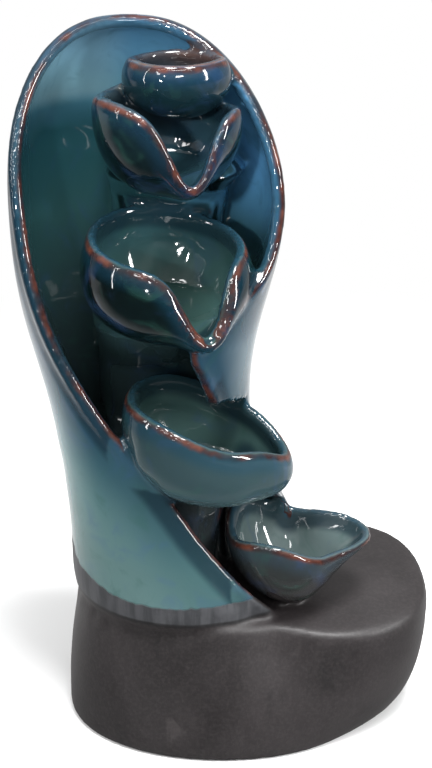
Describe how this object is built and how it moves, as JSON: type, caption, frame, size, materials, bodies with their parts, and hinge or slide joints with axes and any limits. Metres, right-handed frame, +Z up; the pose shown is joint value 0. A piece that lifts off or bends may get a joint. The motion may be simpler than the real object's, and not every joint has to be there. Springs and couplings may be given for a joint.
{
  "type": "backflow incense burner",
  "caption": "Glazed ceramic backflow incense burner: a hooded shell on a drum base, with wavy cups stepping down inside it so that heavy smoke pours from each cup into the next.",
  "frame": {"origin": "middle of the base's underside, on the plane that it stands on", "axes": "+Z up, -Y to the front where the cups open, +X to the viewer's right"},
  "size_m": [0.1343, 0.0863, 0.227],
  "materials": {
    "ceramic": "glossy teal and blue glaze, brown where it breaks on the rims, over a bare matt grey clay base"
  },
  "bodies": {
    "root": {"burner": "ceramic"}
  },
  "joints": []
}
